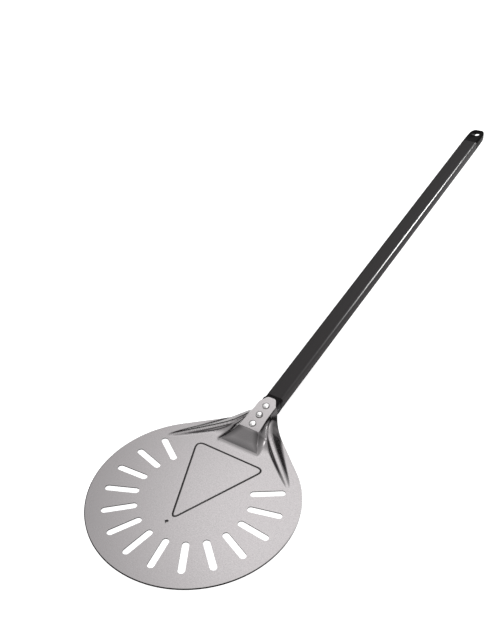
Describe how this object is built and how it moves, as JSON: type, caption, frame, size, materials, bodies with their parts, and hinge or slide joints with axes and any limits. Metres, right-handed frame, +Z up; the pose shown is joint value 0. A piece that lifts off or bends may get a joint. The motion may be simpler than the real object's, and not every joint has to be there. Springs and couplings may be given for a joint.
{
  "type": "pizza peel",
  "caption": "Round slotted steel blade with a raised, ribbed neck riveted to a long flat black handle, for turning pizza in a hot oven.",
  "frame": {"origin": "centre of the blade's disc on its underside", "axes": "+Y along the handle away from the blade, +Z up out of the blade's cooking face, +X to the right"},
  "size_m": [0.203, 0.8716, 0.0984],
  "materials": {
    "blade_steel": "satin",
    "rivet_steel": "polished",
    "handle_black": "satin black",
    "nylon_black": "gloss"
  },
  "bodies": {
    "root": {"blade": "blade_steel", "handle_core": "nylon_black", "handle_tube": "handle_black", "end_cap": "nylon_black", "rivet_front": "rivet_steel", "rivet_middle": "rivet_steel", "rivet_rear": "rivet_steel", "washer_front": "rivet_steel", "washer_middle": "rivet_steel", "washer_rear": "rivet_steel"}
  },
  "joints": []
}
